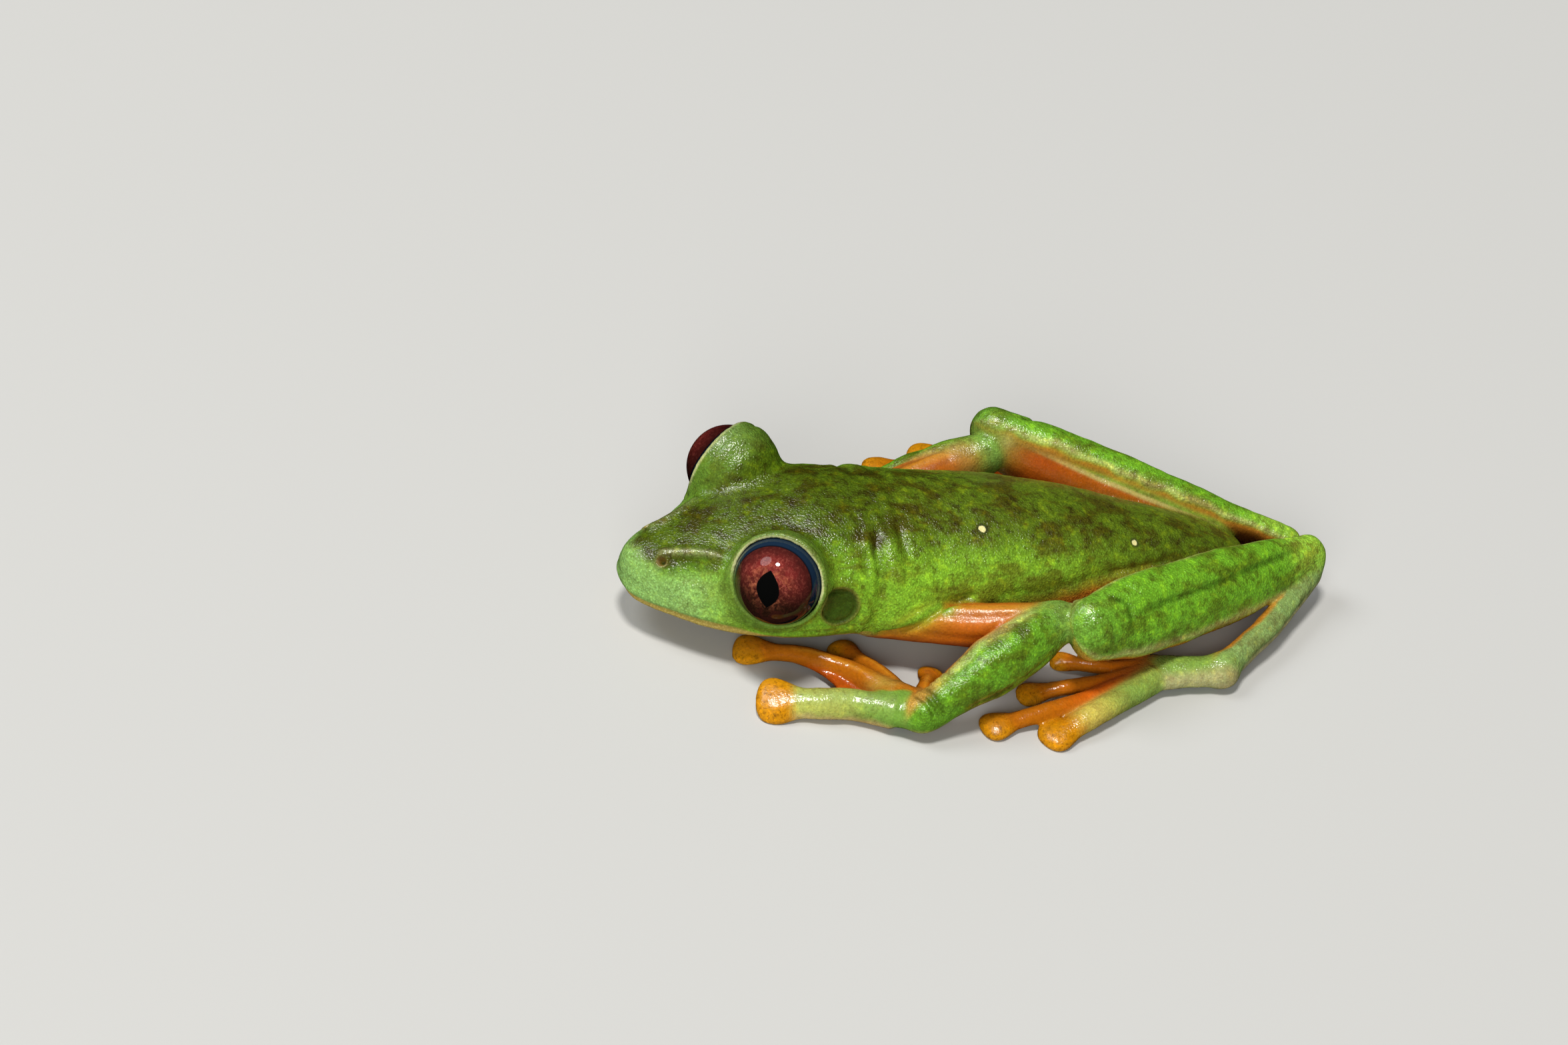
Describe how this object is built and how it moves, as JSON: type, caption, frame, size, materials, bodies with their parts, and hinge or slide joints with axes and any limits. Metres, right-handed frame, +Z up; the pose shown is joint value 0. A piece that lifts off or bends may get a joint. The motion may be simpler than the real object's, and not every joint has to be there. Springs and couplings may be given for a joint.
{
  "type": "leaf frog",
  "caption": "Life-size still model of a red-eyed leaf frog crouched at rest, with its limbs folded close and its webbed hands and feet spread flat.",
  "frame": {"origin": "middle of the bounding box at floor level, under the frog's belly", "axes": "-Y towards the snout, +X towards the frog's left side, +Z up from the floor"},
  "size_m": [0.0406, 0.0636, 0.0131],
  "materials": {
    "green_skin": "moist skin, finely granular",
    "orange_skin": "moist smooth skin",
    "throat_skin": "moist smooth skin",
    "eardrum": "thin translucent skin",
    "eye": "wet gloss"
  },
  "bodies": {
    "root": {"head": "green_skin", "lower_jaw": "throat_skin", "neck": "green_skin", "trunk": "green_skin", "pelvis": "green_skin", "eye_left": "eye", "eye_right": "eye", "tympanum_left": "eardrum", "tympanum_right": "eardrum", "upper_arm_left": "orange_skin", "forearm_left": "green_skin", "hand_left": "orange_skin", "thigh_left": "orange_skin", "shank_left": "green_skin", "tarsus_left": "green_skin", "foot_left": "orange_skin", "upper_arm_right": "orange_skin", "forearm_right": "green_skin", "hand_right": "orange_skin", "thigh_right": "orange_skin", "shank_right": "green_skin", "tarsus_right": "green_skin", "foot_right": "orange_skin"}
  },
  "joints": []
}
